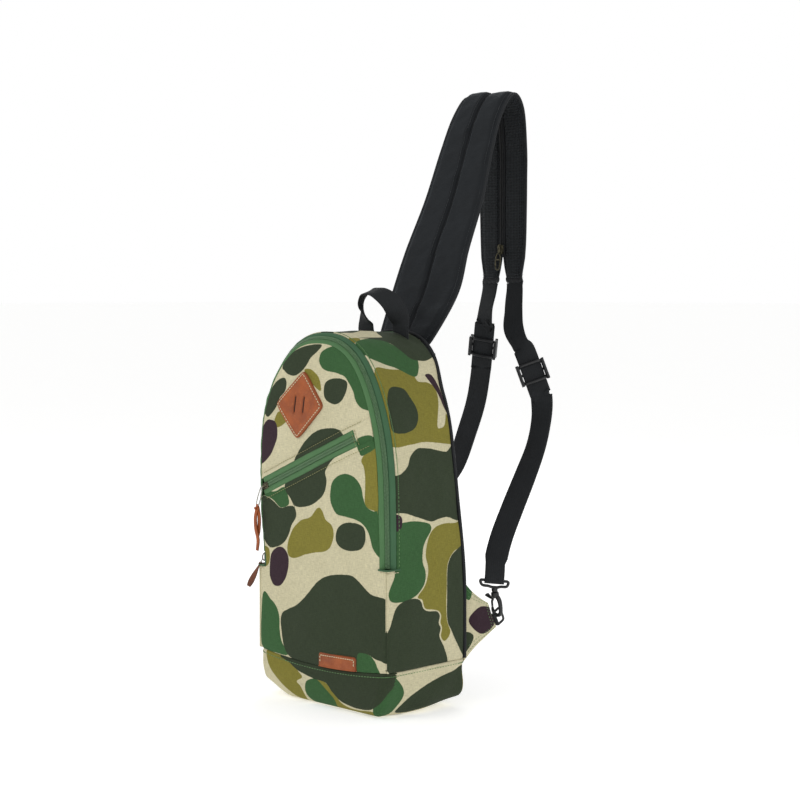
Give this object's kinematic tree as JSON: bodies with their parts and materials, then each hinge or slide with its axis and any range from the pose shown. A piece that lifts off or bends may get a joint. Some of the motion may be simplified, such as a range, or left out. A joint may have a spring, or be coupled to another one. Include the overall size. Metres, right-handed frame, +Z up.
{
  "type": "sling bag",
  "caption": "Convertible sling bag with a zipped arched front, diagonal pocket, boot base, padded strap that splits into webbing tails, and snap hooks.",
  "frame": {"origin": "centre of the flat base, on the surface the bag stands on", "axes": "+X to the right of a person looking at the front, the front faces -Y, +Z up the height of the bag"},
  "size_m": [0.2447, 0.3345, 0.6796],
  "materials": {
    "camo": "matte",
    "green_tape": "matte",
    "green_coil": "satin",
    "black_webbing": "matte",
    "black_canvas": "matte",
    "black_mesh": "matte",
    "black_tape": "matte",
    "leather": "satin",
    "dark_leather": "satin",
    "black_plastic": "satin",
    "antique_metal": "satin",
    "wire": "satin",
    "lining": "matte",
    "foam": "matte",
    "board": "matte"
  },
  "bodies": {
    "bag": {"base_boot": "camo", "base_stiffener": "board", "side_gusset": "camo", "lining": "lining", "lining_floor": "lining", "back_foam": "foam", "back_mesh": "black_mesh", "lower_front_panel": "camo", "main_zip_outer_tape": "green_tape", "main_zip_outer_chain": "green_coil", "main_zip_lower_tail": "green_tape", "leather_label": "leather", "strap_pad_left": "black_canvas", "strap_pad_right": "black_canvas", "strap_mesh_left": "black_mesh", "strap_mesh_right": "black_mesh", "strap_zip_left": "black_tape", "strap_zip_right": "black_tape", "webbing_left": "black_webbing", "webbing_right": "black_webbing", "side_tab_left": "camo", "side_tab_right": "camo", "swivel_eye_left": "black_plastic", "swivel_eye_right": "black_plastic"},
    "front_flap": {"front_panel_upper": "camo", "front_panel_lower": "camo", "pocket_end_cap": "camo", "main_zip_inner_tape": "green_tape", "main_zip_inner_chain": "green_coil", "pocket_zip_tape_upper": "green_tape", "pocket_zip_tape_lower": "green_tape", "pocket_zip_chain_upper": "green_coil", "pocket_zip_chain_lower": "green_coil", "pocket_bag": "lining", "flap_lining": "lining", "leather_patch": "leather"},
    "main_slider": {"main_zip_slider": "antique_metal"},
    "main_pull": {"main_zip_pull": "dark_leather", "main_zip_pull_ring": "wire"},
    "pocket_slider": {"pocket_zip_slider": "antique_metal"},
    "pocket_pull": {"pocket_pull_wire": "wire", "pocket_pull_thong": "leather"},
    "strap_slider": {"strap_zip_slider": "antique_metal"},
    "strap_pull": {"strap_zip_pull": "antique_metal"},
    "handle": {"carry_handle": "black_webbing"},
    "glide_left": {"tri_glide_left": "black_plastic"},
    "glide_right": {"tri_glide_right": "black_plastic"},
    "ring_left": {"tab_ring_left": "black_plastic"},
    "ring_right": {"tab_ring_right": "black_plastic"},
    "hook_left": {"snap_hook_left": "black_plastic"},
    "hook_right": {"snap_hook_right": "black_plastic"},
    "gate_left": {"snap_gate_left": "black_plastic"},
    "gate_right": {"snap_gate_right": "black_plastic"}
  },
  "joints": [
    {"name": "flap_hinge", "type": "hinge", "parent": "bag", "child": "front_flap", "pos_m": [0, -0.05854, 0.157], "axis": [1, 0, 0], "range_deg": [0, 100]},
    {"name": "main_zip_slide", "type": "slide", "parent": "bag", "child": "main_slider", "axis": [0, -0.0215, 0.9998], "range_m": [0, 0.06]},
    {"name": "main_pull_hinge", "type": "hinge", "parent": "main_slider", "child": "main_pull", "pos_m": [-0.09867, -0.05533, 0.1475], "axis": [-0.7071, 0.7071, 0], "range_deg": [0, 75]},
    {"name": "pocket_zip_slide", "type": "slide", "parent": "front_flap", "child": "pocket_slider", "axis": [0.9205, -0.0104, 0.3907], "range_m": [0, 0.08]},
    {"name": "pocket_pull_hinge", "type": "hinge", "parent": "pocket_slider", "child": "pocket_pull", "pos_m": [-0.08714, -0.06466, 0.22931], "axis": [-1, 0, 0], "range_deg": [0, 75]},
    {"name": "strap_zip_slide", "type": "slide", "parent": "bag", "child": "strap_slider", "axis": [0, 0, 1], "range_m": [0, 0.07]},
    {"name": "strap_pull_hinge", "type": "hinge", "parent": "strap_slider", "child": "strap_pull", "pos_m": [0, 0.2284, 0.4905], "axis": [-1, 0, 0], "range_deg": [0, 80]},
    {"name": "handle_hinge", "type": "hinge", "parent": "bag", "child": "handle", "pos_m": [0, 0.037, 0.4026], "axis": [1, 0, 0], "range_deg": [-35, 40]},
    {"name": "glide_slide_left", "type": "slide", "parent": "bag", "child": "glide_left", "axis": [-0.331, 0.2483, -0.9104], "range_m": [-0.01, 0.01]},
    {"name": "glide_slide_right", "type": "slide", "parent": "bag", "child": "glide_right", "axis": [0.3119, 0.1642, -0.9358], "range_m": [-0.01, 0.01]},
    {"name": "ring_hinge_left", "type": "hinge", "parent": "bag", "child": "ring_left", "pos_m": [-0.107, 0.09903, 0.09475], "axis": [0, 0.4472, -0.8944], "range_deg": [-8, 8]},
    {"name": "hook_swivel_left", "type": "hinge", "parent": "bag", "child": "hook_left", "pos_m": [-0.107, 0.10523, 0.09731], "axis": [0, -0.16, 0.9871], "range_deg": [-15, 15]},
    {"name": "gate_hinge_left", "type": "hinge", "parent": "hook_left", "child": "gate_left", "pos_m": [-0.1028, 0.10328, 0.10935], "axis": [0, 0.9871, 0.16], "range_deg": [0, 18], "stiffness_Nm_per_rad": 0.004, "springref_deg": -14.32},
    {"name": "ring_hinge_right", "type": "hinge", "parent": "bag", "child": "ring_right", "pos_m": [0.107, 0.09903, 0.09475], "axis": [0, 0.4472, -0.8944], "range_deg": [-8, 8]},
    {"name": "hook_swivel_right", "type": "hinge", "parent": "bag", "child": "hook_right", "pos_m": [0.107, 0.10523, 0.09731], "axis": [0, -0.16, 0.9871], "range_deg": [-15, 15]},
    {"name": "gate_hinge_right", "type": "hinge", "parent": "hook_right", "child": "gate_right", "pos_m": [0.1028, 0.10328, 0.10935], "axis": [0, -0.9871, -0.16], "range_deg": [0, 18], "stiffness_Nm_per_rad": 0.004, "springref_deg": -14.32}
  ]
}
